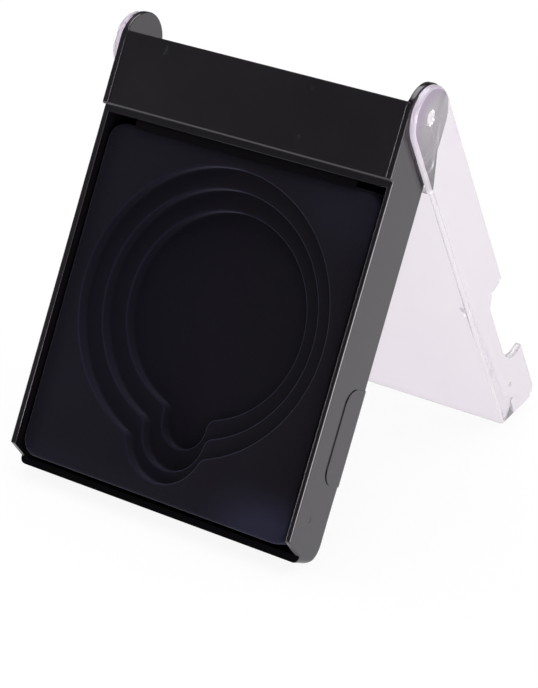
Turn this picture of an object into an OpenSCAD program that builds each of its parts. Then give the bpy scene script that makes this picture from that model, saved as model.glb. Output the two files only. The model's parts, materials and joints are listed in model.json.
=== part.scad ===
// Medal case that stands on its own lid, folded right round to the back.
// Lengths are in millimetres and angles in degrees.
// X runs across the case, Y from front to back and Z up from the surface it stands on.
// Tray and lid are drawn in the closed case's frame, with the hinge axis at Y = Z = 0 and the case
// hanging down from it, and are then turned into the stand.

/* [Medals] */
// Diameter of the largest medal, on the top step
medal_large = 70; // [66:1:80]
// Diameter of the middle medal, on the second step
medal_middle = 60; // [56:1:64]
// Diameter of the smallest medal, on the recess floor
medal_small = 50; // [44:1:54]
// Recess diameter beyond the medal's own
medal_play = 1.2; // [0.5:0.1:3]
// Depth of each step
medal_step = 3.3; // [2.5:0.1:5]

/* [Insert] */
// Flat border beside the largest recess
border_side = 5; // [3:0.1:10]
// Flat border above the largest recess
border_top = 3.5; // [2:0.1:10]
// Flat border below the finger lobe
border_bottom = 4.2; // [2:0.1:10]
// Corner radius of the insert
insert_corner = 4.5; // [2:0.1:8]
// Thickness of the formed sheet with its flock
sheet = 0.8; // [0.5:0.1:1.5]
// Gap between the insert and the side walls
side_gap = 0.4; // [0.2:0.1:1]
// Room above the insert
slide_room = 1.6; // [1:0.1:3]
// Room below the insert to slide it under the lip
bottom_room = 1.2; // [1.1:0.1:3]
// How far the insert's face lies behind the rim
face_drop = 1.8; // [1:0.1:3]
// Space between the recess floor and the back wall
floor_gap = 0.7; // [0.5:0.1:3]

/* [Finger lobes] */
// Radius of the largest recess's lobe
lobe_r = 11.6; // [8:0.1:14]
// How much smaller each deeper lobe's radius is
lobe_r_step = 2.6; // [0.5:0.1:3]
// How far the largest recess's lobe reaches past it
lobe_reach_large = 7.2; // [6:0.1:12]
// How far the middle recess's lobe reaches past it
lobe_reach_middle = 8.9; // [6:0.1:11]
// How far the smallest recess's lobe reaches past it
lobe_reach_small = 8.3; // [6:0.1:12]
// Radius where a lobe runs into its recess
lobe_fillet = 3; // [2:0.1:5]

/* [Tray] */
// Thickness of the side and back walls
tray_wall = 1.5; // [1.2:0.1:3]
// Thickness of the bottom wall
bottom_wall = 1.9; // [1.2:0.1:2.5]
// Height of the header's top edge above the hinge axis
header_top = 2; // [1.5:0.1:5]
// Depth of the header's lower edge below the hinge axis
header_drop = 17; // [14:0.5:24]
// How far the header's face lies behind the front edges of the side walls
header_set = 0.2; // [0.1:0.05:0.4]
// Thickness of the header's front wall and of the wall under it
header_wall = 2.2; // [1.8:0.1:3]
// Edge radius along the header's lower front edge
header_edge = 0.8; // [0.4:0.1:1.4]
// Thickness of the ribs behind the header
rib_w = 1.2; // [0.8:0.1:2]
// Distance between the two ribs
rib_spacing = 28; // [10:1:50]
// How far the ribs' tops lie below the header's top edge
rib_drop = 1.2; // [0.5:0.1:4]
// How far the rim lies behind the header's front
rim_step = 1.5; // [1.2:0.1:2.5]
// Width of the rim under the header
rim_top = 1.6; // [1.2:0.1:3]
// Length of the lip over the insert's top edge
lip_l = 65; // [30:1:72]
// Thickness of that lip
lip_w = 0.9; // [0.6:0.1:1.1]
// How far the lip reaches over the insert
lip_over = 0.6; // [0.3:0.1:1]
// Gap between the lip and the insert's face
lip_gap = 0.3; // [0.2:0.1:0.4]
// Height of the low bottom wall, from the back
bottom_wall_h = 8.7; // [7:0.1:10]
// Height of the slanted cut at the bottom of each side wall
cut_h = 4.9; // [3:0.1:8]
// Radius of the rear bottom edge that the tray stands on
foot_r = 5; // [3:0.1:6]
// Corner radius of the bottom, seen from the front
bottom_corner = 1.5; // [0.5:0.1:3]

/* [Lid] */
// Wall thickness of the clear lid
lid_wall = 1.6; // [1.2:0.1:2.4]
// Gap between each wing and the tray's side
wing_gap = 0.4; // [0.3:0.05:1]
// Gap between the closed panel and the rim
panel_gap = 0.2; // [0.1:0.05:0.5]
// Gap between the header and the panel's top edge
panel_drop = 0.6; // [0.5:0.05:2]
// How far the wings' free edges stop short of the tray's back
wing_short = 0.4; // [0:0.1:2]
// How far the panel stops short of the tray's bottom
panel_short = 3.4; // [1:0.1:6]
// Slope of the wings' lower edges
wing_slope = 18.5; // [5:0.5:30]
// Radius of the wings' lower rear corners
wing_corner = 3.2; // [2:0.1:5]
// Depth of the moulding step on the ears' inner faces
shutoff_step = 0.2; // [0.1:0.05:0.4]
// How far below the pin's centre that step ends
shutoff_drop = 7; // [4:0.5:12]
// How far in front of the pin's centre that step starts
shutoff_front = 1.1; // [0.5:0.1:1.8]

/* [Finger notch] */
// Length of the notch along the wing
notch_l = 24.8; // [16:0.2:36]
// Distance from the hinge axis to the notch's middle
notch_place = 78; // [50:0.5:85]
// Depth of the notch from the tray's back
notch_depth = 7.9; // [5:0.1:10]
// Radius of the notch's inner corners
notch_r = 4.5; // [2:0.1:5]
// Radius where the notch meets the wing's free edge
notch_lead = 1.5; // [0.5:0.1:3]
// Height of the matching thumb pad on the tray's side
pad_h = 0.25; // [0.1:0.05:0.25]
// Gap all round between that pad and the finger notch
pad_play = 0.5; // [0.3:0.1:1]

/* [Hinge and snap] */
// Diameter of the moulded hinge pins
pin_d = 4; // [3:0.1:6]
// Radial running clearance of the pins
pin_play = 0.05; // [0.02:0.01:0.1]
// Length of the cone at the pin's tip
pin_lead = 0.5; // [0.2:0.1:0.8]
// Diameter of the snap dots
snap_d = 1.6; // [1:0.1:3]
// Height of the snap dots
snap_h = 0.2; // [0.1:0.05:0.25]
// How far in front of the hinge axis the snap dots lie
snap_front = 0.8; // [0:0.1:3]
// Height of the snap dots above the tray's bottom
snap_up = 11; // [8:0.1:16]

/* [Stand] */
// Angle between the tray's front and the folded lid
stand_angle = 54.5; // [53:0.5:75]

/* [Hidden] */
$fn = 96;
// Overshoot of cutting shapes
eps = 1;
// How far a neck's rounding bites into the two circles it joins, so that they cross and don't just touch
neck_bite = 0.005;

// Recess radii, lobe radii and lobe centres below the recess centre, from the top step down
recess_r = [for (d = [medal_large, medal_middle, medal_small]) (d + medal_play) / 2];
lobe_rs = [for (k = [0:2]) lobe_r - k * lobe_r_step];
lobe_reach = [lobe_reach_large, lobe_reach_middle, lobe_reach_small];
lobe_drop = [for (k = [0:2]) recess_r[k] + lobe_reach[k] - lobe_rs[k]];

// Heights in the closed case, counted down from the hinge axis
cavity_top = -header_drop - rim_top;
insert_top = cavity_top - slide_room;
recess_z = insert_top - border_top - recess_r[0];
insert_bottom = recess_z - recess_r[0] - lobe_reach_large - border_bottom;
cavity_bottom = insert_bottom - bottom_room;
tray_bottom = cavity_bottom - bottom_wall;

// Depths in the closed case, counted from the hinge axis, which lies halfway between front and back
tray_d = rim_step + face_drop + 3 * medal_step + sheet + floor_gap + tray_wall;
half_d = tray_d / 2;
rim_y = rim_step - half_d;
face_y = rim_y + face_drop;
floor_y = face_y + 3 * medal_step;
inner_back = half_d - tray_wall;
low_wall_y = half_d - bottom_wall_h;

// Rounded corner inside the tray, over the foot
inner_r = foot_r - tray_wall;
inner_foot = [inner_back - inner_r, cavity_bottom + inner_r];

// Hollow of the header, open to the top and back: its front wall and the wall under it overlap both ways
header_front = header_set - half_d;
header_in = header_front + header_wall;
header_lap = header_in - rim_y;
header_floor = header_lap - header_drop;

// Widths
insert_half = recess_r[0] + border_side;
inner_half = insert_half + side_gap;
tray_half = inner_half + tray_wall;
wing_in = tray_half + wing_gap;
lid_half = wing_in + lid_wall;

// Lid in the closed case
panel_in = rim_y - panel_gap;
panel_out = panel_in - lid_wall;
panel_top = -header_drop - panel_drop;
panel_bottom = tray_bottom + panel_short;
wing_back = half_d - wing_short;
lid_ear_r = (wing_back - panel_out) / 2;
lid_ear_y = (wing_back + panel_out) / 2;
corner_y = wing_back - wing_corner;
corner_z = panel_bottom + (wing_corner - (corner_y - panel_out) * sin(wing_slope)) / cos(wing_slope);
wing_tip = panel_bottom - (wing_back - panel_out) * tan(wing_slope);

// The stand: the tray leans back until its rear bottom edge and the lid's front lower edge
// both touch the floor
foot_y = half_d - foot_r;
foot_z = tray_bottom + foot_r;
lid_foot_y = panel_out * cos(stand_angle) - panel_bottom * sin(stand_angle);
lid_foot_z = panel_out * sin(stand_angle) + panel_bottom * cos(stand_angle);
foot_run = lid_foot_y - foot_y;
foot_rise = foot_z - lid_foot_z;
tray_lean = asin(foot_r / norm([foot_run, foot_rise])) - atan2(foot_rise, foot_run);
lid_lean = stand_angle - tray_lean;
hinge_h = lid_foot_y * sin(tray_lean) - lid_foot_z * cos(tray_lean);

// Front and rear ends of the standing case, which the origin lies halfway between
cut_z = tray_bottom + cut_h;
front_end = rim_y * cos(tray_lean) + cut_z * sin(tray_lean);
rear_end = corner_y * cos(lid_lean) - corner_z * sin(lid_lean) + wing_corner;
hinge_y = -(front_end + rear_end) / 2;

// Places the closed case's frame in the stand: the tray, and the lid folded round behind it
module lean_tray() {
    translate([0, hinge_y, hinge_h]) rotate([-tray_lean, 0, 0]) children();
}

module lean_lid() {
    translate([0, hinge_y, hinge_h]) rotate([lid_lean, 0, 0]) children();
}

// Extrudes a side view, drawn as [Y, Z], from x0 to x1
module side_view(x0, x1) {
    translate([x0, 0, 0]) rotate([90, 0, 90]) linear_extrude(x1 - x0) children();
}

// Extrudes a front view, drawn as [X, Z], from y0 back to y1
module front_view(y0, y1) {
    translate([0, y1, 0]) rotate([90, 0, 0]) linear_extrude(y1 - y0) children();
}

// A box between two corners
module block(low, high) {
    translate(low) cube(high - low);
}

// A plain rectangle between two corners
module patch(low, high) {
    translate(low) square(high - low);
}

// A rectangle between two corners with all its corners rounded
module round_patch(low, high, r) {
    patch([low.x + r, low.y], [high.x - r, high.y]);
    patch([low.x, low.y + r], [high.x, high.y - r]);
    for (x = [low.x + r, high.x - r], z = [low.y + r, high.y - r])
        translate([x, z]) circle(r);
}

// Both sides of the case
module both_sides() {
    children();
    mirror([1, 0, 0]) children();
}

// Outline of one recess with its finger lobe, grown by a margin, with the lobe's neck rounded
module recess_outline(k, grow) {
    r = recess_r[k] + grow;
    lobe = lobe_rs[k] + grow;
    fillet = lobe_fillet - grow;
    far = r + fillet;
    near = lobe + fillet;
    drop = lobe_drop[k];
    angle = acos((far * far + drop * drop - near * near) / (2 * far * drop));
    neck = [far * sin(angle), -far * cos(angle)];
    translate([0, recess_z]) {
        circle(r);
        translate([0, -drop]) circle(lobe);
        for (side = [-1, 1])
            difference() {
                polygon([[0, 0], [side * neck.x, neck.y], [0, -drop]]);
                translate([side * neck.x, neck.y]) circle(fillet + neck_bite);
            }
    }
}

// The three stepped recesses as one solid, grown all round by a margin
module recesses(grow) {
    for (k = [0:2])
        front_view(face_y - eps, face_y + (k + 1) * medal_step + grow)
            recess_outline(k, grow);
}

// Finger notch in side view, open to the back, grown past the free edge and shrunk by a gap
module notch_outline(back, gap) {
    r = notch_r - gap;
    y_in = half_d - notch_depth + gap;
    low = -notch_place - notch_l / 2 + gap;
    high = -notch_place + notch_l / 2 - gap;
    patch([y_in + r, low], [back, high]);
    patch([y_in, low + r], [back, high - r]);
    for (z = [low + r, high - r])
        translate([y_in + r, z]) circle(r);
}

// Thumb pad on the tray's side in side view, cut off at the tray's back
module pad_outline() {
    intersection() {
        notch_outline(half_d, pad_play);
        patch([-half_d, tray_bottom], [half_d, 0]);
    }
}

// Rounds the notch's two corners at a free edge
module notch_leads(edge) {
    for (side = [-1, 1])
        translate([edge - notch_lead, -notch_place + side * notch_l / 2])
            difference() {
                patch([0, side < 0 ? -notch_lead : 0], [notch_lead + eps, side < 0 ? 0 : notch_lead]);
                translate([0, side * notch_lead]) circle(notch_lead);
            }
}

// Side wall of the tray in side view, with its ear and its slanted bottom
module tray_side_outline() {
    circle(half_d);
    patch([-half_d, -header_drop], [half_d, 0]);
    difference() {
        polygon([
            [rim_y, -header_drop],
            [half_d, -header_drop],
            [half_d, tray_bottom],
            [low_wall_y, tray_bottom],
            [low_wall_y, cavity_bottom],
            [rim_y, cut_z],
        ]);
        foot_cut();
    }
}

// What the rounded rear bottom edge leaves of a square corner
module foot_cut() {
    difference() {
        patch([foot_y, tray_bottom - eps], [half_d + eps, foot_z]);
        translate([foot_y, foot_z]) circle(foot_r);
    }
}

// Tray body between the side walls in side view: header, back wall and low bottom wall
module tray_middle_outline() {
    difference() {
        union() {
            patch([header_front, -header_drop], [half_d, header_top]);
            patch([rim_y, cavity_top], [half_d, -header_drop]);
            patch([low_wall_y, tray_bottom], [half_d, cavity_top]);
        }
        patch([header_in, header_floor], [half_d + eps, header_top + eps]);
        tray_hollow_outline();
        foot_cut();
    }
}

// Inside of the tray in side view, with a rounded corner over the foot
module tray_hollow_outline() {
    patch([rim_y - eps, inner_foot.y], [inner_back, cavity_top]);
    patch([rim_y - eps, cavity_bottom], [inner_foot.x, inner_foot.y]);
    intersection() {
        translate(inner_foot) circle(inner_r);
        patch([inner_foot.x - inner_r, cavity_bottom], [inner_back, inner_foot.y]);
    }
}

// What the rounded lower edge of a front face leaves of the header's square edge
module header_edge_outline(front) {
    translate([front, -header_drop])
        difference() {
            patch([-eps, -eps], [header_edge, header_edge]);
            translate([header_edge, header_edge]) circle(header_edge);
        }
}

// Bottom corners of the tray in front view
module bottom_corner_outline() {
    translate([tray_half - bottom_corner, tray_bottom + bottom_corner])
        difference() {
            patch([0, -bottom_corner - eps], [bottom_corner + eps, 0]);
            circle(bottom_corner);
        }
}

// Black moulded tray
module tray() {
    color([0.12, 0.115, 0.12])
    lean_tray()
    difference() {
        union() {
            both_sides() side_view(inner_half, tray_half) tray_side_outline();
            side_view(-inner_half, inner_half) tray_middle_outline();
            both_sides() side_view(tray_half - tray_wall / 2, tray_half + pad_h) pad_outline();
            header_ribs();
            insert_lip();
        }
        side_view(-inner_half, inner_half) header_edge_outline(header_front);
        both_sides() {
            side_view(inner_half, tray_half + eps) header_edge_outline(-half_d);
            front_view(-half_d - eps, half_d + eps) bottom_corner_outline();
            pin_hole();
            snap_dimple();
        }
    }
}

// Two ribs behind the header
module header_ribs() {
    both_sides()
        translate([(rib_spacing - rib_w) / 2, 0, 0])
            block([0, header_in - header_lap / 2, header_floor - header_lap / 2],
                  [rib_w, inner_back, header_top - rib_drop]);
}

// Lip below the header that the insert's top edge lies under
module insert_lip() {
    lip_back = face_y - lip_gap;
    block([-lip_l / 2, lip_back - lip_w, insert_top - lip_over],
          [lip_l / 2, lip_back, cavity_top + rim_top / 2]);
}

// Hole for a hinge pin
module pin_hole() {
    translate([inner_half - eps, 0, 0]) rotate([0, 90, 0])
        cylinder(d = pin_d + 2 * pin_play, h = tray_wall + 2 * eps);
}

// Round snap dimple in the tray's side, as deep as the lid's dot is high
module snap_dimple() {
    translate([tray_half - snap_h, -snap_front, tray_bottom + snap_up]) rotate([0, 90, 0])
        cylinder(d = snap_d, h = snap_h + eps);
}

// Flocked insert: a formed sheet with stepped recesses and a skirt that stands on the back wall
module medal_insert() {
    low = [-insert_half, insert_bottom];
    high = [insert_half, insert_top];
    inset = [sheet, sheet];
    color([0.09, 0.085, 0.15])
    lean_tray()
    difference() {
        front_view(face_y, inner_back) round_patch(low, high, insert_corner);
        recesses(0);
        difference() {
            front_view(face_y + sheet, inner_back + eps)
                round_patch(low + inset, high - inset, insert_corner - sheet);
            recesses(sheet);
        }
        skirt_cut();
    }
}

// Clears the insert's skirt from the tray's rounded rear bottom edge
module skirt_cut() {
    block([-insert_half - eps, inner_foot.x, insert_bottom - eps],
          [insert_half + eps, inner_back + eps, inner_foot.y + side_gap]);
}

// Wing of the lid in side view, with its round ear, slanted lower edge and finger notch
module wing_outline() {
    difference() {
        lid_side_outline();
        notch_outline(wing_back + eps, 0);
        notch_leads(wing_back);
    }
}

// Side view of the whole lid, without the notch
module lid_side_outline() {
    past = wing_corner + eps;
    translate([lid_ear_y, 0]) circle(lid_ear_r);
    difference() {
        polygon([[panel_out, 0], [panel_out, panel_bottom], [wing_back, wing_tip], [wing_back, 0]]);
        difference() {
            polygon([
                [corner_y, corner_z],
                [corner_y - past * sin(wing_slope), corner_z - past * cos(wing_slope)],
                [wing_back + eps, wing_tip - 2 * eps],
                [wing_back + eps, corner_z],
            ]);
            translate([corner_y, corner_z]) circle(wing_corner);
        }
    }
}

// Clear moulded lid with its hinge pins, folded round to the back
module lid() {
    color([0.86, 0.86, 0.92, 0.4])
    lean_lid() {
        side_view(-lid_half, lid_half)
            intersection() {
                lid_side_outline();
                patch([panel_out, wing_tip], [panel_in, panel_top]);
            }
        both_sides() {
            difference() {
                side_view(wing_in, lid_half) wing_outline();
                shutoff();
            }
            hinge_pin();
            snap_dot();
        }
    }
}

// Shallow moulding step in front of the pin, on the ear's inner face
module shutoff() {
    block([wing_in - eps, panel_out - eps, -shutoff_drop],
          [wing_in + shutoff_step, -shutoff_front, lid_ear_r + eps]);
}

// Hinge pin with a conical tip, standing on the wing's inner face
module hinge_pin() {
    reach = wing_gap + tray_wall;
    translate([wing_in + shutoff_step, 0, 0]) rotate([0, -90, 0]) {
        cylinder(d = pin_d, h = shutoff_step + reach - pin_lead);
        translate([0, 0, shutoff_step + reach - pin_lead])
            cylinder(d1 = pin_d, d2 = pin_d - 2 * pin_lead, h = pin_lead);
    }
}

// Low round snap dot on the wing's inner face
module snap_dot() {
    translate([wing_in, -snap_front, tray_bottom + snap_up]) rotate([0, -90, 0])
        cylinder(d1 = snap_d, d2 = snap_d / 2, h = snap_h);
}

tray();
medal_insert();
lid();
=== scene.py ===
# %% [markdown]
# # A medal case that stands on its own lid
#
# A black moulded tray holds a flocked insert with three stepped recesses, one for each of three medal
# sizes. A clear lid turns on two pins moulded in its wings. Folded right round to the back, as here, it
# makes a desk stand.
#
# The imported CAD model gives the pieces, their sizes and the hinge. Blender adds what a drawing leaves out:
# soft edges, the rounded form of the flocked sheet, and the finish of each surface.

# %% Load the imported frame
import json
import math

import bmesh
import bpy
from mathutils import Matrix, Vector


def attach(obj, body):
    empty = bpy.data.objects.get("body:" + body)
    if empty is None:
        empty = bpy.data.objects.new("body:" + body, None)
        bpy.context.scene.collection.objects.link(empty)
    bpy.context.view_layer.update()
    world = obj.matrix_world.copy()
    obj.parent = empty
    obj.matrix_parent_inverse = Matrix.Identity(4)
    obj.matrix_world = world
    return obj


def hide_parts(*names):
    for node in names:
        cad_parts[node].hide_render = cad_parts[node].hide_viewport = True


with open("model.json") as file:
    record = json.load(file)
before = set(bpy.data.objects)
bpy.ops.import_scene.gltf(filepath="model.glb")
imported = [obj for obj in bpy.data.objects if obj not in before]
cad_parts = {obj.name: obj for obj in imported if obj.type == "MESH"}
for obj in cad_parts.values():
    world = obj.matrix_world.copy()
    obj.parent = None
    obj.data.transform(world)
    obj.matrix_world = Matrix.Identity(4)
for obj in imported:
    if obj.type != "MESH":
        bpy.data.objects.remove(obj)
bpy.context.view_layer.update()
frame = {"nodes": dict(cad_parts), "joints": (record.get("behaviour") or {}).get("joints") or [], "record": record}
MM = 0.001
scene = bpy.context.scene

# %% [markdown]
# ## The closed case's frame
#
# The part is drawn closed, hanging from its hinge axis, and then turned into the stand. Sizes are easiest to
# give in that closed frame: X across, Y to the back and Z up from the hinge axis. One matrix carries a point
# of the tray from there to its place in the stand, and a second one does so for the folded lid.

# %% Frames of the tray and the lid
FOLD = math.radians(54.5)
ACROSS = Vector((1, 0, 0))
seats = {mount["name"]: mount for mount in frame["record"]["mounts"]}
facing = Vector(seats["seat_large"]["axis"])
hinge = Vector(frame["joints"][0]["pos_m"])
tray_frame = Matrix((ACROSS, -facing, ACROSS.cross(-facing))).transposed().to_4x4()
tray_frame.translation = hinge
lid_frame = tray_frame @ Matrix.Rotation(FOLD, 4, "X")
print("tray leans", round(math.degrees(math.asin(facing.z)), 2), "degrees")
print("hinge in mm:", tuple(round(c / MM, 2) for c in hinge))

# %% [markdown]
# ## The camera
#
# A camera can be placed by eye or solved. This one is solved: a least-squares fit of the part's known
# edges to the same edges in the photograph gives its place, its turn and its lens. Blender lays the 36 mm
# sensor along the picture's longer side, so the lens is the fitted focal length in pixels, times 36,
# divided by the picture's 688 rows.

# %% Camera at the photograph's viewpoint
PHOTO_ROWS = 688
FOCAL_PIXELS = 2681.8
SENSOR = 36
VIEWPOINT = Vector((348.687, -498.184, 332.216))
VIEW_RIGHT = Vector((0.816644, 0.577135, 0.00287))
VIEW_UP = Vector((-0.261144, 0.365074, 0.893602))
camera_data = bpy.data.cameras.new("photo_camera")
camera_data.sensor_width = SENSOR
camera_data.lens = FOCAL_PIXELS * SENSOR / PHOTO_ROWS
camera_data.clip_start = 0.02
camera = bpy.data.objects.new("photo_camera", camera_data)
scene.collection.objects.link(camera)
turn = Matrix((VIEW_RIGHT, VIEW_UP, VIEW_RIGHT.cross(VIEW_UP))).transposed().to_4x4()
camera.matrix_world = Matrix.Translation(VIEWPOINT * MM) @ turn
scene.camera = camera
print("lens in mm:", round(camera_data.lens, 1))

# %% [markdown]
# ## Node arithmetic
#
# Patterns and shapes in a node tree are mostly arithmetic, and each sum is a Math node. Wired by hand, a
# formula soon can't be read. The small class below stands for a number inside a tree: adding or
# multiplying such terms adds the Math node and its links, so that formulas read as they would on paper.


# %% Terms that build Math nodes
class Term:
    """A number inside a node tree. Arithmetic on it adds Math nodes to that tree."""

    def __init__(self, tree, socket):
        self.tree = tree
        self.socket = socket

    def math(self, operation, *others):
        node = self.tree.nodes.new("ShaderNodeMath")
        node.operation = operation
        for slot, value in zip(node.inputs, (self, *others)):
            put(self.tree, slot, value)
        return Term(self.tree, node.outputs[0])

    def __add__(self, other):
        return self.math("ADD", other)

    def __sub__(self, other):
        return self.math("SUBTRACT", other)

    def __rsub__(self, other):
        return (self * -1) + other

    def __mul__(self, other):
        return self.math("MULTIPLY", other)

    def __truediv__(self, other):
        return self.math("DIVIDE", other)

    __radd__ = __add__
    __rmul__ = __mul__

    def below(self, other):
        return self.math("LESS_THAN", other)

    def root(self):
        return self.math("MAXIMUM", 0.0).math("SQRT")

    def smooth(self, low, high):
        """From 0 at low to 1 at high, eased at both ends."""
        node = self.tree.nodes.new("ShaderNodeMapRange")
        node.interpolation_type = "SMOOTHSTEP"
        for name, value in (("Value", self), ("From Min", low), ("From Max", high)):
            put(self.tree, node.inputs[name], value)
        return Term(self.tree, node.outputs[0])


def put(tree, slot, value):
    """Links a term, or another node's socket, to a socket, or sets the socket to a plain value."""
    if isinstance(value, Term):
        tree.links.new(value.socket, slot)
    elif isinstance(value, bpy.types.NodeSocket):
        tree.links.new(value, slot)
    else:
        slot.default_value = value


print("Term adds one Math node for each operation")

# %% [markdown]
# ## Floor and light
#
# The photograph is a catalogue picture on pure white. A white floor can be had by pouring light on it, but
# then the case is washed out too. Here the floor is a pale diffuse surface that, for the rays which show it
# (camera, mirror and glass rays), also glows up to white. The diffuse share still takes the case's shadow.
#
# The room is dim in front of the case, because the header mirrors hardly anything. Most light comes from a
# wide softbox overhead. A slender one low on the right and a small one on the left draw the two bright lines
# down the front edge of the tray's right wall. A rounded edge mirrors a whole fan of directions, so the right
# softbox is long and tilted to lie along that fan. The left one stands far enough back to stay out of the
# header's reflection.
#
# Light that enters the clear lid is turned back inside it many times before it gets out. Cycles gives up
# after four mirror bounces by default, which leaves the lid's edges black, so the bounce counts are raised.


# %% Which rays see the white
def shown_to(tree, *kinds):
    """A term that is 1 for the named kinds of ray and 0 for all others."""
    paths = tree.nodes.new("ShaderNodeLightPath")
    first, *others = [Term(tree, paths.outputs[f"Is {kind} Ray"]) for kind in kinds]
    for other in others:
        first = first.math("MAXIMUM", other)
    return first


print("Light Path tells the kinds of ray apart")

# %% Floor that shows white and keeps the shadow
FLOOR_SIZE = 6
FLOOR_GLOW = 0.9
FLOOR_COLOUR = (0.86, 0.86, 0.86, 1)
bpy.ops.mesh.primitive_plane_add(size=FLOOR_SIZE)
floor = bpy.context.object
floor.name = "floor"
floor_finish = bpy.data.materials.new("pale_floor")
floor_finish.use_nodes = True
tree = floor_finish.node_tree
tree.nodes.clear()
matt = tree.nodes.new("ShaderNodeBsdfDiffuse")
matt.inputs["Color"].default_value = FLOOR_COLOUR
glow = tree.nodes.new("ShaderNodeEmission")
glow.inputs["Strength"].default_value = 1
both = tree.nodes.new("ShaderNodeMixShader")
put(tree, both.inputs["Fac"], shown_to(tree, "Camera", "Glossy", "Transmission") * FLOOR_GLOW)
put(tree, both.inputs[1], matt.outputs[0])
put(tree, both.inputs[2], glow.outputs[0])
put(tree, tree.nodes.new("ShaderNodeOutputMaterial").inputs["Surface"], both.outputs[0])
floor.data.materials.append(floor_finish)
print("floor glow share:", FLOOR_GLOW)

# %% Dim room, white where the camera or the clear lid sees it
ROOM_LIGHT = 0.075
world = bpy.data.worlds.new("studio")
scene.world = world
world.use_nodes = True
tree = world.node_tree
tree.nodes.clear()
room = tree.nodes.new("ShaderNodeMix")
room.data_type = "RGBA"
room.inputs["A"].default_value = (ROOM_LIGHT, ROOM_LIGHT, ROOM_LIGHT, 1)
room.inputs["B"].default_value = (1, 1, 1, 1)
put(tree, room.inputs["Factor"], shown_to(tree, "Camera", "Transmission"))
backdrop = tree.nodes.new("ShaderNodeBackground")
put(tree, backdrop.inputs["Color"], room.outputs["Result"])
put(tree, tree.nodes.new("ShaderNodeOutputWorld").inputs["Surface"], backdrop.outputs[0])
scene.view_settings.view_transform = "Standard"
print("room light:", ROOM_LIGHT)

# %% Bounces
scene.cycles.max_bounces = 24
scene.cycles.glossy_bounces = 16
print("bounces:", scene.cycles.max_bounces, "of which mirror bounces:", scene.cycles.glossy_bounces)


# %% Softboxes
def softbox(name, place, aim, size, power, tilt=0.0):
    """An area lamp at a place in metres, turned to face a point and tilted about that line."""
    lamp = bpy.data.lights.new(name, "AREA")
    lamp.shape = "RECTANGLE"
    lamp.size, lamp.size_y = size
    lamp.energy = power
    holder = bpy.data.objects.new(name, lamp)
    scene.collection.objects.link(holder)
    towards = Vector(aim) - Vector(place)
    facing_aim = towards.to_track_quat("-Z", "Y").to_matrix().to_4x4()
    holder.matrix_world = Matrix.Translation(place) @ facing_aim @ Matrix.Rotation(math.radians(tilt), 4, "Z")
    print(name, "at", place, "power", power)


softbox("overhead_softbox", (0.0, 0.25, 1.3), (0, 0, 0.03), (1.6, 1.4), 23)
softbox("right_softbox", (1.112, -0.543, 0.224), (0, 0, 0.05), (1.5, 0.3), 12, -22)
softbox("left_softbox", (-1.2, -0.14, 0.2), (0, 0, 0.05), (0.9, 0.5), 13)

# %% [markdown]
# ## Finishes
#
# Each finish is a Principled shader whose roughness, colour or bump comes from procedural textures. They
# read Object coordinates in metres, so a scale of 1000 repeats about once a millimetre, and a pattern stays
# on its piece when the lid turns.


# %% A finish to build on
class Finish:
    """A material with a Principled shader, and short ways to add procedural textures to it."""

    def __init__(self, name):
        self.material = bpy.data.materials.new(name)
        self.material.use_nodes = True
        self.tree = self.material.node_tree
        self.shader = self.tree.nodes["Principled BSDF"]
        self.place = self.tree.nodes.new("ShaderNodeTexCoord").outputs["Object"]

    def stretched(self, scale):
        """Object coordinates, drawn out unevenly along the axes."""
        node = self.tree.nodes.new("ShaderNodeMapping")
        self.tree.links.new(self.place, node.inputs["Vector"])
        node.inputs["Scale"].default_value = scale
        return node.outputs[0]

    def noise(self, scale, detail=3.0, where=None):
        node = self.tree.nodes.new("ShaderNodeTexNoise")
        self.tree.links.new(where or self.place, node.inputs["Vector"])
        node.inputs["Scale"].default_value = scale
        node.inputs["Detail"].default_value = detail
        return Term(self.tree, node.outputs[0])

    def specks(self, scale, size):
        """1 inside small scattered spots and 0 elsewhere."""
        node = self.tree.nodes.new("ShaderNodeTexVoronoi")
        self.tree.links.new(self.place, node.inputs["Vector"])
        node.inputs["Scale"].default_value = scale
        return Term(self.tree, node.outputs["Distance"]).smooth(size, size * 0.5)

    def distance(self, point, where=None):
        """Distance in metres from a point."""
        node = self.tree.nodes.new("ShaderNodeVectorMath")
        node.operation = "DISTANCE"
        self.tree.links.new(where or self.place, node.inputs[0])
        node.inputs[1].default_value = point
        return Term(self.tree, node.outputs["Value"])

    def along(self, axis):
        """The place along X, Y or Z in metres. Z is the height above the floor at rest."""
        node = self.tree.nodes.new("ShaderNodeSeparateXYZ")
        self.tree.links.new(self.place, node.inputs[0])
        return Term(self.tree, node.outputs[axis])

    def tint(self, amount, low, high):
        """A colour between two, by a term from 0 to 1. The first may be another tint."""
        node = self.tree.nodes.new("ShaderNodeMix")
        node.data_type = "RGBA"
        put(self.tree, node.inputs["Factor"], amount)
        put(self.tree, node.inputs["A"], low if isinstance(low, bpy.types.NodeSocket) else (*low, 1))
        node.inputs["B"].default_value = (*high, 1)
        return node.outputs["Result"]

    def bump(self, height, depth, strength=1.0):
        node = self.tree.nodes.new("ShaderNodeBump")
        put(self.tree, node.inputs["Height"], height)
        node.inputs["Distance"].default_value = depth
        node.inputs["Strength"].default_value = strength
        self.tree.links.new(node.outputs[0], self.shader.inputs["Normal"])

    def set(self, **values):
        for name, value in values.items():
            put(self.tree, self.shader.inputs[name.replace("_", " ")], value)


print("finishes read Object coordinates in metres")

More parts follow.
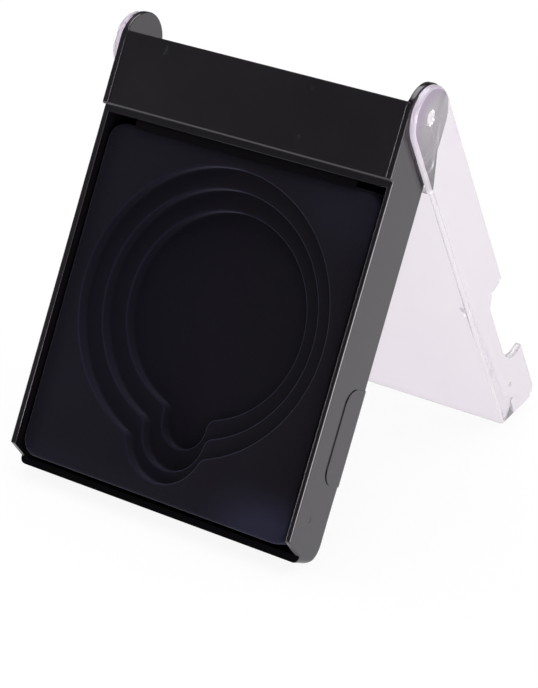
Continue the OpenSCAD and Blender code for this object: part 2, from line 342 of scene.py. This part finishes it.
# %% [markdown]
# ### Black moulding
#
# The tray is moulded in black polystyrene. It is satin rather than glossy: a fine grain from the mould
# breaks up reflections, handling has left a few scuffs, and there is a little dust. Roughness carries most
# of that, because on black the colour itself hardly shows. What shows is what it mirrors, so the index of
# refraction sets how light the sides look, and a specular tint gives their reflections a faint lilac.
#
# Inside the tray, on the lip under the header and on the front of the low bottom wall, the same plastic is made
# matt and a deeper black. This is painted shade for the shade that falls there.

# %% Black moulding, satin outside, with matt painted shade inside
BLACK_IOR = 1.74
LILAC_GLEAM = (0.98, 0.925, 1.0, 1)


def black_finish(name, low, high, roughness, gloss):
    """Black plastic with mould grain, cloudy wear, short scuffs and dust."""
    finish = Finish(name)
    grain = finish.noise(5200, 2.0)
    cloud = finish.noise(45, 3.0)
    scuffs = finish.noise(300, 5.0, finish.stretched((1.0, 0.5, 0.5))).smooth(0.66, 0.76)
    dust = finish.specks(250, 0.04)
    finish.set(
        Base_Color=finish.tint(dust * 0.4 + cloud * 0.25 + scuffs * 0.25, low, high),
        Roughness=cloud * 0.10 + scuffs * 0.1 + dust * 0.2 + roughness,
        IOR=BLACK_IOR,
        Specular_IOR_Level=gloss,
        Specular_Tint=LILAC_GLEAM,
    )
    finish.bump(grain, 0.00001, 0.35)
    print(name, "has", len(finish.tree.nodes), "nodes")
    return finish


black = black_finish("black_moulding", (0.0062, 0.0053, 0.0063), (0.026, 0.024, 0.027), 0.15, 0.5)
# Painted shade: a matt, darker black for the inside of the tray, the lip and the front of the low bottom wall,
# where shade falls.
painted_shade_black = black_finish("painted_shade_black", (0.0042, 0.0036, 0.0043), (0.010, 0.009, 0.0105), 0.6, 0.0)

# %% [markdown]
# ### Navy flock
#
# The insert is a formed sheet covered with short upright fibres. Flock takes in light that falls straight
# on it and scatters light that grazes it, so it looks nearly black from the front with a lilac sheen on
# rounded edges. The sheen of the Principled shader does that. Fibre ends are a fine noise in colour and
# bump, and brushed patches a coarse one. Along the crests of the recesses' rims a paler colour is painted as
# a highlight, and the insert's mesh carries a number that says where. The colour also holds painted light. It
# is a little paler to the left, where more light reaches the steps. A painted navy sheen blooms in the two
# right-hand corners and along the bottom edge, most in the lower corner.

# %% Navy flock
flock = Finish("navy_flock")
fibre = flock.noise(3600, 2.0)
brushed = flock.noise(38, 3.0)
lint = flock.specks(210, 0.05)
aside, up = flock.along("X"), flock.along("Z")
# Painted sheen: a navy glow painted into the colour in the lower right corner, along the bottom edge and in the
# upper right corner.
low_corner_sheen = up.smooth(0.020, 0.005) * aside.smooth(0.012, 0.036)
low_edge_sheen = up.smooth(0.014, 0.007)
high_corner_sheen = up.smooth(0.062, 0.080) * aside.smooth(0.008, 0.036)
painted_sheen = low_corner_sheen * 1.35 + low_edge_sheen * 0.08 + high_corner_sheen * 0.3
# Painted light: the colour is made paler to the left, where more light reaches the steps.
painted_left_light = aside.smooth(0.034, -0.036) * 0.13 - 0.06
# Painted highlight: a paler colour along the crests of the rims, read from the number the insert's mesh carries.
rims = flock.tree.nodes.new("ShaderNodeAttribute")
rims.attribute_name = "painted_rim_highlight"
painted_rim_highlight = Term(flock.tree, rims.outputs["Fac"])
# The fibres, brushed patches and lint are the flock's own colour. The sheen, the paler left side and the rim
# crests are painted light.
texture_and_painted_light = fibre * 0.16 + brushed * 0.12 + lint * 0.3 + painted_sheen + painted_left_light + painted_rim_highlight * (brushed + 0.2) * 0.5
flock.set(
    Base_Color=flock.tint(texture_and_painted_light, (0.0024, 0.00145, 0.0028), (0.0152, 0.0142, 0.0312)),
    Roughness=fibre * 0.15 + 0.85,
    Specular_IOR_Level=0.12,
    Sheen_Weight=0.15,
    Sheen_Roughness=0.4,
    Sheen_Tint=(0.62, 0.58, 0.85, 1),
)
flock.bump(fibre, 0.00012, 0.6)
print("navy flock:", len(flock.tree.nodes), "nodes")

# %% [markdown]
# ### Clear moulding
#
# The lid is clear polystyrene. It is modelled with its real wall thickness, so true refraction bends what
# is seen through it and shows the hinge hole shifted. The plastic is not as clear as glass: a small diffuse
# share gives it a milky lilac veil, which deepens from the hinge down to the free edge. That veil lies on
# outside faces only. Backfacing finds the rays that are already inside the plastic and lets all of them
# through, because otherwise each inner bounce would dull them again. Absorption in the volume could tint the
# lid too, but Cycles keeps track of a volume by its material, and this lid has five: a ray that enters by
# one and leaves by another would carry the tint out into the room. Fine rub marks soften the gloss.
#
# The five are the same plastic after different treatment in the mould: polished on the panel, a shade duller
# on the wings' outer faces, pale on the ears' unpolished edges, soft on the rounded corners and dull grey on
# the lower edges. The ears are cloudier towards their tops. A lilac glow is painted along their front rims,
# standing in for the light that the plastic carries along inside to them.
#
# Where the plastic was let into the mould, half way down the right corner, the gate broke off and left a
# small cloudy scar. Below it a clear, untinted spot is painted as the bright glint of the gate's nub.

# %% Clear moulding, polished and on its edges
CLEAR_IOR = 1.57
GATE = Vector((42.9, -8.4, -60.4))
# The place of a painted glint: a clear, untinted spot below the gate scar.
NUB_GLINT = Vector((43.0, -8.4, -62.5))
EAR_BACK = Vector((0.0, 2.5, -2.5))
SCAR_COLOUR = (0.58, 0.53, 0.63)
# Painted glow: a lilac colour along the ears' front rims, for light carried inside the plastic.
EAR_RIM_GLOW = (0.66, 0.50, 0.76)
RIM_GLOW_PER_CLOUD = 4


def clear_finish(name, clearness, low, high, roughness, cloud=0.0):
    """A clear plastic that lets a share of the light straight through and scatters the rest.

    The share falls by cloud towards the tops of the ears.
    """
    finish = Finish(name)
    rubs = finish.noise(900, 3.0, finish.stretched((1.0, 0.15, 0.15))).smooth(0.55, 0.75)
    haze = finish.noise(60, 2.0)
    up = finish.along("Z")
    flow = haze * 0.4 + up.smooth(0.004, 0.085) * 0.6
    uneven = (finish.noise(1500, 2.0) - 0.5) * 0.0004
    scar = (finish.distance(lid_frame @ (GATE * MM)) + uneven).smooth(0.0013, 0.0004)
    # Painted glint: fully clear and untinted within this spot, so that it shows bright.
    nub_glint = finish.distance(lid_frame @ (NUB_GLINT * MM)).smooth(0.0006, 0.0003)
    inside = Term(finish.tree, finish.tree.nodes.new("ShaderNodeNewGeometry").outputs["Backfacing"])
    colour = finish.tint(flow, low, high)
    if cloud:
        # Painted glow: the colour turns lilac along the ears' front rims, more where the ear is cloudier.
        from_axis = finish.distance(hinge + EAR_BACK * MM, finish.stretched((0.0, 1.0, 1.0)))
        painted_rim_glow = from_axis.smooth(0.0060, 0.0095) * up.smooth(0.086, 0.096)
        colour = finish.tint(painted_rim_glow * (RIM_GLOW_PER_CLOUD * cloud), colour, EAR_RIM_GLOW)
    through = scar * -0.3 + nub_glint + up.smooth(0.086, 0.103) * -cloud + clearness
    finish.set(
        Base_Color=finish.tint(nub_glint, finish.tint(scar, colour, SCAR_COLOUR), (1, 1, 1)),
        Roughness=rubs * 0.06 + haze * 0.03 + scar * 0.3 + roughness,
        IOR=CLEAR_IOR,
        Transmission_Weight=through.math("MINIMUM", 1.0).math("MAXIMUM", inside),
    )
    finish.bump(rubs, 0.000002, 0.2)
    print(name, "has", len(finish.tree.nodes), "nodes")
    return finish


clear = clear_finish("clear_moulding", 0.81, (0.815, 0.745, 0.817), (0.90, 0.85, 0.904), 0.015)
clear_corner = clear_finish("clear_corner", 0.7, (0.80, 0.76, 0.80), (0.84, 0.80, 0.84), 0.12)
clear_wing = clear_finish("clear_wing", 0.81, (0.735, 0.677, 0.738), (0.800, 0.748, 0.803), 0.015, 0.16)
clear_cut = clear_finish("clear_cut", 0.15, (0.40, 0.38, 0.40), (0.44, 0.42, 0.44), 0.3)
clear_edge = clear_finish("clear_edge", 0.5, (0.91, 0.85, 0.92), (0.95, 0.90, 0.96), 0.12, 0.1)

# %% [markdown]
# ## Tray and lid with softened edges
#
# Every edge of a moulding is slightly round, and that is where it catches light. The CAD solids are sharp.
# They could be modelled again from scratch, but a copy keeps their exact shape. The copy's loose triangles
# are merged and flat faces are joined. Each outer edge then gets a weight for its own radius, and a Bevel
# modifier rounds it. Weighted normals keep the flat faces looking flat. An edge that stays sharp is marked
# so, because normals would otherwise blend across it: the tray's inner corners are crisp, while the lid's
# are left to blend, as a clear moulding's soft corners do.
#
# Not every edge has the same radius. The thumb pads keep a plain step, which shows as a thin dark line. The
# front rim is rounder on the right wall than on the left. Next to a small step the radius stays below the
# step's height, or the roundings would run into each other. Along a round corner it stays the same, because
# a change half way folds the bevel over itself. The dimple that the lid's snap dot clicks into has worn
# shallow.
#
# A face with a hole in it can only be stored with a stray edge that runs from the hole to the rim, and the
# bevel would trip over that. So the copy is first cut along planes through its holes.

# %% Whole faces from a CAD node
FLAT = math.radians(0.6)
SAME_PLACE = 1e-6


def settle(piece):
    """Turns a piece's modifiers into plain mesh and prints what came out."""
    evaluated = piece.evaluated_get(bpy.context.evaluated_depsgraph_get())
    mesh = bpy.data.meshes.new_from_object(evaluated)
    piece.modifiers.clear()
    piece.data = mesh
    mesh.name = piece.name
    triangles = sum(len(p.vertices) - 2 for p in mesh.polygons)
    print(piece.name, "has", triangles, "triangles")


def whole_faces(node, place, cuts):
    """A CAD node's mesh in a frame of its own, with flat faces joined but cut along planes through holes."""
    work = bmesh.new()
    work.from_mesh(frame["nodes"][node].data)
    bmesh.ops.remove_doubles(work, verts=work.verts, dist=SAME_PLACE)
    work.transform(place.inverted())
    for axis, height in cuts:
        normal = Vector([float(axis == k) for k in range(3)])
        everything = [*work.verts, *work.edges, *work.faces]
        made = bmesh.ops.bisect_plane(
            work, geom=everything, dist=SAME_PLACE, plane_co=normal * height, plane_no=normal
        )
        for item in made["geom_cut"]:
            if isinstance(item, bmesh.types.BMEdge):
                item.seam = True
    bmesh.ops.dissolve_limit(work, angle_limit=FLAT, verts=work.verts, edges=work.edges, delimit={"SEAM"})
    print(node, "has", len(work.faces), "whole faces")
    return work


# %% Round the edges of a copy
SHARP = math.radians(35)
FULL_WEIGHT = 100


def softened(work, name, place, radius, widest, segments, crisp, finishes, finish_of):
    """A piece from whole faces, with its edges rounded by radii in mm up to a widest one, in its finishes.

    Inner corners shade as sharp if crisp is true, and otherwise as softly moulded.
    """
    weight = work.edges.layers.float.new("bevel_weight_edge")
    for edge in work.edges:
        turn = edge.calc_face_angle_signed() if edge.is_manifold else 0.0
        if turn > SHARP:
            edge[weight] = radius((edge.verts[0].co + edge.verts[1].co) / 2 / MM) / widest
        edge.smooth = abs(turn) < SHARP or edge[weight] > 0 or turn < 0 and not crisp
    for face in work.faces:
        face.smooth = True
        face.material_index = finish_of(face)
    work.transform(place)
    mesh = bpy.data.meshes.new(name)
    work.to_mesh(mesh)
    work.free()
    for finish in finishes:
        mesh.materials.append(finish.material)
    piece = bpy.data.objects.new(name, mesh)
    scene.collection.objects.link(piece)
    rounding = piece.modifiers.new("rounding", "BEVEL")
    rounding.width = widest * MM
    rounding.segments = segments
    rounding.limit_method = "WEIGHT"
    rounding.use_clamp_overlap = False
    flatten = piece.modifiers.new("flat faces", "WEIGHTED_NORMAL")
    flatten.mode = "FACE_AREA"
    flatten.weight = FULL_WEIGHT
    flatten.keep_sharp = True
    settle(piece)
    return piece


print("edges that turn more than", round(math.degrees(SHARP)), "degrees are rounded or marked sharp")

# %% Places on the tray and its edge radii, in mm
SIDE, WALL_IN = 42.5, 41.0
HEADER_TOP, HEADER_BOTTOM = 2.0, -17.0
BOTTOM_WALL = -107.6
LIP_HALF, LIP_FRONT, LIP_BACK = 32.7, -6.2, -4.9
SNAP_Y, SNAP_Z = -0.8, -98.4
PIN_ZONE, SNAP_ZONE = 2.5, 1.2
LEFT_RIM, RIM, STEP = -6.0, -6.5, -7.0
INSIDE_FRONT, INSIDE_BACK = -6.55, 7.0
WORN_DIMPLE = 0.07
NEAR = 0.1
FRONT_RIM = 0.45


def tray_radius(p):
    """Edge radius in mm at a point of the tray, in mm from the hinge axis."""
    on_lip = abs(p.x) < LIP_HALF and LIP_FRONT < p.y < LIP_BACK and p.z < HEADER_BOTTOM - 1
    in_dimple = math.hypot(p.y - SNAP_Y, p.z - SNAP_Z) < SNAP_ZONE
    on_wall = abs(p.x) > WALL_IN - NEAR
    on_left_rim = p.x < 0 and p.y < LEFT_RIM
    on_header_step = abs(p.x - WALL_IN) < NEAR and p.y < STEP and p.z > HEADER_BOTTOM - NEAR
    if on_lip:
        return 0.15
    if math.hypot(p.y, p.z) < PIN_ZONE:
        return 0.1
    if in_dimple:
        return WORN_DIMPLE * 0.9
    if abs(p.x) > SIDE + NEAR:
        return 0.0
    if p.z < HEADER_TOP + 0.2 and (on_left_rim or on_header_step):
        return 0.14
    if on_wall and p.y < RIM and p.z < HEADER_BOTTOM - NEAR:
        return FRONT_RIM
    if on_wall and p.y < 0:
        return 0.3
    return 0.22


def tray_finish(face):
    """0 on the outside of the tray, and 1, a darker black painted as shade, inside it, on the lip and on the front
    of the low bottom wall.
    """
    c = face.calc_center_median() / MM
    between_walls = abs(c.x) < WALL_IN + NEAR and INSIDE_FRONT < c.y < INSIDE_BACK
    within = between_walls and BOTTOM_WALL < c.z < HEADER_BOTTOM - 0.2
    return int(within or c.z < BOTTOM_WALL and face.normal.y < -0.9)


print("tray radii go up to", FRONT_RIM, "mm")

# %% Tray
X_AXIS, Z_AXIS = 0, 2
PIN_CUT, SNAP_CUT, MIDDLE_CUT = (Z_AXIS, 0.0), (Z_AXIS, SNAP_Z * MM), (X_AXIS, 0.0)
tray_faces = whole_faces("tray", tray_frame, [PIN_CUT, SNAP_CUT, MIDDLE_CUT])
for v in tray_faces.verts:
    in_dimple = math.hypot(v.co.y / MM - SNAP_Y, v.co.z / MM - SNAP_Z) < 1.0
    if in_dimple and abs(v.co.x) < (SIDE - 0.05) * MM:
        v.co.x = math.copysign((SIDE - WORN_DIMPLE) * MM, v.co.x)
# The second finish is the darker black painted as shade inside the tray.
tray = softened(
    tray_faces, "tray_shell", tray_frame, tray_radius, FRONT_RIM,
    segments=3, crisp=True, finishes=[black, painted_shade_black], finish_of=tray_finish,
)
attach(tray, "case")
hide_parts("tray")

# %% Places on the lid, its edge radii in mm and its finishes
WING_IN, WING_OUT, PANEL_IN = 42.9, 44.5, -6.8
PANEL_TOP = -17.6
EAR_LOW = -8.0
WING_EDGE = 0.95
BROAD, EDGE, CORNER, WING, CUT = range(5)
LID_FINISHES = [clear, clear_edge, clear_corner, clear_wing, clear_cut]


def lid_radius(p):
    """Edge radius in mm at a point of the lid, in mm from the hinge axis in the closed case."""
    on_snap = math.hypot(p.y - SNAP_Y, p.z - SNAP_Z) < SNAP_ZONE
    if abs(p.x) < WING_IN + 0.25 and (p.z > EAR_LOW or on_snap):
        return 0.08
    if abs(p.x) > WING_OUT - NEAR:
        return WING_EDGE
    return 0.25


def lid_finish(face):
    """Polished on broad faces and pins, pale on the edges above the panel, dull on those below its top."""
    n, c = face.normal, face.calc_center_median() / MM
    broad_wing = abs(n.x) > 0.9 and abs(c.x) > WING_IN - NEAR
    broad_panel = abs(n.y) > 0.9 and c.y < PANEL_IN + NEAR and c.z < PANEL_TOP
    pin = abs(c.x) < WING_IN + 0.3 and math.hypot(c.y, c.z) < PIN_ZONE
    if broad_wing or broad_panel or pin:
        return BROAD
    return EDGE if c.z > PANEL_TOP - 0.5 else CUT


print("lid radii go up to", WING_EDGE, "mm")

# %% Lid
lid_faces = whole_faces("lid", lid_frame, [SNAP_CUT, (Z_AXIS, PANEL_TOP * MM)])
lid = softened(
    lid_faces, "clear_lid", lid_frame, lid_radius, WING_EDGE,
    segments=5, crisp=False, finishes=LID_FINISHES, finish_of=lid_finish,
)
to_lid = lid_frame.inverted()
for face in lid.data.polygons:
    centre = to_lid @ face.center / MM
    rounded = 0.03 < abs(face.normal.x) < 0.97
    if abs(centre.x) > WING_IN and rounded:
        face.material_index = EDGE if centre.z > PANEL_TOP else CORNER
    elif abs(centre.x) > WING_OUT - NEAR:
        face.material_index = WING
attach(lid, "lid")
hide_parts("lid")

# %% [markdown]
# ## Node trees with named sizes
#
# The insert's shape follows a rule: its recesses repeat, each a step deeper. Geometry Nodes suit that. A grid
# is laid out flat and each of its points is then moved to where a formula puts it, so the rule stays readable
# and its sizes can be changed on the modifier. The helpers below make such a tree, end it, and turn its
# result into plain mesh.


# %% Trees and grids
def tree_with_sizes(name, sizes):
    """A geometry tree with an input for each size, its input node, and a term for each size."""
    tree = bpy.data.node_groups.new(name, "GeometryNodeTree")
    tree.interface.new_socket("Geometry", in_out="INPUT", socket_type="NodeSocketGeometry")
    for label, value in sizes.items():
        kind = "NodeSocketInt" if isinstance(value, int) else "NodeSocketFloat"
        tree.interface.new_socket(label, in_out="INPUT", socket_type=kind)
    tree.interface.new_socket("Finish", in_out="INPUT", socket_type="NodeSocketMaterial")
    tree.interface.new_socket("Geometry", in_out="OUTPUT", socket_type="NodeSocketGeometry")
    inputs = tree.nodes.new("NodeGroupInput")
    return tree, inputs, {label: Term(tree, inputs.outputs[label]) for label in sizes}


def rows_and_columns(tree, columns, rows):
    """A grid, with a term for its column counted from the middle one and for its row counted from 0."""
    grid = tree.nodes.new("GeometryNodeMeshGrid")
    put(tree, grid.inputs["Size X"], columns - 1)
    put(tree, grid.inputs["Size Y"], float(rows - 1))
    put(tree, grid.inputs["Vertices X"], columns)
    put(tree, grid.inputs["Vertices Y"], rows)
    here = tree.nodes.new("ShaderNodeSeparateXYZ")
    tree.links.new(tree.nodes.new("GeometryNodeInputPosition").outputs[0], here.inputs[0])
    row = (Term(tree, here.outputs["Y"]) + (rows - 1) / 2).math("ROUND")
    return grid.outputs["Mesh"], Term(tree, here.outputs["X"]), row


def then(tree, kind, geometry, **values):
    """Adds a geometry node fed by another, and returns its geometry output."""
    node = tree.nodes.new(kind)
    tree.links.new(geometry, node.inputs[0])
    for label, value in values.items():
        put(tree, node.inputs[label.replace("_", " ")], value)
    return node.outputs[0]


def placed(tree, grid, point):
    """Moves the grid's points to three terms."""
    joined = tree.nodes.new("ShaderNodeCombineXYZ")
    for slot, term in zip(joined.inputs, point):
        put(tree, slot, term)
    return then(tree, "GeometryNodeSetPosition", grid, Position=joined.outputs[0])


print("a tree has one input for each named size")


# %% The end of a tree, and a piece formed by it
def end_tree(tree, geometry, inputs):
    """Shades a tree's result smooth, makes it plain mesh in its finish, and ends the tree."""
    geometry = then(tree, "GeometryNodeSetShadeSmooth", geometry, Shade_Smooth=True)
    geometry = then(tree, "GeometryNodeRealizeInstances", geometry)
    geometry = then(tree, "GeometryNodeSetMaterial", geometry, Material=inputs.outputs["Finish"])
    tree.links.new(geometry, tree.nodes.new("NodeGroupOutput").inputs[0])
    print(tree.name, "has", len(tree.nodes), "nodes")


def formed(name, tree, sizes, finish, place, outwards):
    """A piece made by a tree, moved to its place, with its largest face turned outwards."""
    piece = bpy.data.objects.new(name, bpy.data.meshes.new(name))
    scene.collection.objects.link(piece)
    forming = piece.modifiers.new("forming", "NODES")
    forming.node_group = tree
    identifiers = {item.name: item.identifier for item in tree.interface.items_tree if item.in_out == "INPUT"}
    for label, value in sizes.items():
        forming[identifiers[label]] = value
    forming[identifiers["Finish"]] = finish.material
    settle(piece)
    work = bmesh.new()
    work.from_mesh(piece.data)
    work.transform(place)
    bmesh.ops.recalc_face_normals(work, faces=work.faces)
    largest = max(work.faces, key=lambda face: face.calc_area())
    largest.normal_update()
    if largest.normal.dot(outwards) < 0:
        bmesh.ops.reverse_faces(work, faces=work.faces)
    work.to_mesh(piece.data)
    work.free()
    return piece


print("a tree's sizes are set on its modifier by the sockets' identifiers")

# %% [markdown]
# ## The flocked insert
#
# The insert follows a rule: three recesses, each a circle with a finger lobe below it, each smaller and
# one step deeper than the last, in a sheet with round corners. It could be cut from a block with booleans,
# but a formed sheet has soft rims and soft floors, and booleans leave knife edges.
#
# So a Geometry Nodes tree lays a grid in rings around the recess centre. A column of the grid is an angle.
# A row is one line of the sheet: from the skirt over the outer edge, then three times over a rim, down a
# wall and into a floor, and last the centre. The tree works out where each row's outline crosses the
# column's ray. Growing a recess outline by a margin changes only its three radii, which gives true offset
# curves for the rounded rims. Solidify then gives the sheet a thickness, a little less than the rims' radius
# so that its back doesn't fold over itself.

# %% The insert's tree and its named sizes
INSERT_SIZES = {
    "Columns": 721,
    "Half width": 40.6 * MM,
    "Top": 39.1 * MM,
    "Bottom": 47.0 * MM,
    "Corner": 4.5 * MM,
    "Skirt": 10.4 * MM,
    "Edge round": 1.3 * MM,
    "Recess": 35.6 * MM,
    "Recess step": 5.0 * MM,
    "Depth step": 3.3 * MM,
    "Lobe": 11.6 * MM,
    "Lobe step": 2.6 * MM,
    "Reach 1": 7.2 * MM,
    "Reach 2": 8.9 * MM,
    "Reach 3": 8.3 * MM,
    "Neck": 3.0 * MM,
    "Rim round": 0.5 * MM,
    "Floor round": 0.5 * MM,
}
EDGE_ROWS, RIM_ROWS, FLOOR_ROWS = 6, 6, 5
OUTER_ROWS = 1 + EDGE_ROWS
STEP_ROWS = RIM_ROWS + FLOOR_ROWS
ROWS = OUTER_ROWS + 3 * STEP_ROWS + 1
insert_tree, inputs, size = tree_with_sizes("stepped_insert", INSERT_SIZES)
print("rows:", ROWS, "for", len(INSERT_SIZES), "named sizes")

# %% A grid whose columns are angles and whose rows are lines of the sheet
grid, column, row = rows_and_columns(insert_tree, size["Columns"], ROWS)
angle = column / (size["Columns"] - 1) * (2 * math.pi)
across, down = angle.math("SINE"), angle.math("COSINE")
print("angle 0 points down to the finger lobe")


# %% Outline of a grown recess along a ray
def recess_reach(ring, grow):
    """Distance from the recess centre to the outline of a ring, 0 to 2, grown by a margin."""
    reach = size["Reach 1"] * ring.below(0.5) + size["Reach 3"] * (1 - ring.below(1.5))
    reach = reach + size["Reach 2"] * (ring.below(1.5) - ring.below(0.5))
    plain = size["Recess"] - ring * size["Recess step"]
    plain_lobe = size["Lobe"] - ring * size["Lobe step"]
    drop = plain + reach - plain_lobe
    circle, lobe, neck = plain + grow, plain_lobe + grow, size["Neck"] - grow
    far, near = circle + neck, lobe + neck
    cosine = (far * far + drop * drop - near * near) / (2 * far * drop)
    neck_angle = cosine.math("ARCCOSINE")
    part = lobe / near
    touch_x = far * neck_angle.math("SINE") * part
    touch_z = drop - (drop - far * cosine) * part
    touch_angle = touch_x.math("ARCTAN2", touch_z)
    aside = angle.math("ABSOLUTE")
    lobe_reach = drop * down + (lobe * lobe - drop * drop * across * across).root()
    off = aside - neck_angle
    off_across = far * off.math("SINE")
    neck_reach = far * off.math("COSINE") - (neck * neck - off_across * off_across).root()
    on_lobe, before_circle = aside.below(touch_angle), aside.below(neck_angle)
    return lobe_reach * on_lobe + neck_reach * (before_circle - on_lobe) + circle * (1 - before_circle)


step_row = row - OUTER_ROWS
ring = (step_row / STEP_ROWS).math("FLOOR").math("MINIMUM", 2.0).math("MAXIMUM", 0.0)
line = step_row - ring * STEP_ROWS
on_rim = line.below(RIM_ROWS - 0.5)
rim_turn = line * (math.pi / 2 / (RIM_ROWS - 1))
floor_turn = (line - RIM_ROWS) * (math.pi / 2 / (FLOOR_ROWS - 1))
rim_grow = size["Rim round"] * (1 - rim_turn.math("SINE"))
rim_depth = size["Rim round"] * (1 - rim_turn.math("COSINE"))
floor_grow = size["Floor round"] * (floor_turn.math("COSINE") - 1)
floor_depth = size["Depth step"] - size["Floor round"] * (1 - floor_turn.math("SINE"))
grow = rim_grow * on_rim + floor_grow * (1 - on_rim)
recess_depth = ring * size["Depth step"] + rim_depth * on_rim + floor_depth * (1 - on_rim)
recess_distance = recess_reach(ring, grow)
recess_x, recess_z = recess_distance * across, recess_distance * down * -1
print("tree nodes after the recess:", len(insert_tree.nodes))

# %% Round-cornered outer edge along the same ray
LEAST_SLOPE, LEAST_LENGTH = 1e-6, 1e-9
hangs = down.math("GREATER_THAN", 0.0)
tall = size["Bottom"] * hangs + size["Top"] * (1 - hangs)
to_side = size["Half width"] / across.math("ABSOLUTE").math("MAXIMUM", LEAST_SLOPE)
to_end = tall / down.math("ABSOLUTE").math("MAXIMUM", LEAST_SLOPE)
ray = to_side.math("MINIMUM", to_end)
hit_x, hit_z = ray * across, ray * down * -1
inner_x = size["Half width"] - size["Corner"]
core_x = hit_x.math("MINIMUM", inner_x).math("MAXIMUM", inner_x * -1)
core_z = hit_z.math("MINIMUM", size["Top"] - size["Corner"]).math("MAXIMUM", size["Corner"] - size["Bottom"])
out_x, out_z = hit_x - core_x, hit_z - core_z
out_length = (out_x * out_x + out_z * out_z).root().math("MAXIMUM", LEAST_LENGTH)
edge_turn = (row - 1).math("MAXIMUM", 0.0) * (math.pi / 2 / (EDGE_ROWS - 1))
edge_reach = size["Corner"] + size["Edge round"] * (edge_turn.math("COSINE") - 1)
edge_x, edge_z = core_x + out_x / out_length * edge_reach, core_z + out_z / out_length * edge_reach
on_skirt = row.below(0.5)
edge_depth = size["Skirt"] * on_skirt + size["Edge round"] * (1 - edge_turn.math("SINE")) * (1 - on_skirt)
print("tree nodes after the border:", len(insert_tree.nodes))

# %% Put the rows together and finish the tree
MERGE = 0.002 * MM
outside = row.below(OUTER_ROWS - 0.5)
inside = row.below(ROWS - 1.5) - outside
middle_depth = 3 * size["Depth step"] * (1 - outside - inside)
# A number that is 1 on the crests of the rims, where the flock's colour gets a painted highlight.
on_crest = (rim_turn * 2).math("SINE").math("MAXIMUM", 0.0) * on_rim * inside
noted = then(insert_tree, "GeometryNodeStoreNamedAttribute", grid, Name="painted_rim_highlight", Value=on_crest)
sheet = placed(insert_tree, noted, (
    edge_x * outside + recess_x * inside,
    edge_depth * outside + recess_depth * inside + middle_depth,
    edge_z * outside + recess_z * inside,
))
sheet = then(insert_tree, "GeometryNodeMergeByDistance", sheet, Distance=MERGE)
end_tree(insert_tree, sheet, inputs)

# %% Make the insert's mesh and give the sheet its thickness
SHEET = 0.45 * MM
FACE_DEPTH = -4.8 * MM
RECESS_HEIGHT = -59.3 * MM
insert_place = tray_frame @ Matrix.Translation((0, FACE_DEPTH, RECESS_HEIGHT))
insert = formed("flocked_insert", insert_tree, INSERT_SIZES, flock, insert_place, facing)
thicken = insert.modifiers.new("sheet", "SOLIDIFY")
thicken.thickness = SHEET
thicken.offset = -1
settle(insert)
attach(insert, "case")
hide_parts("medal_insert")
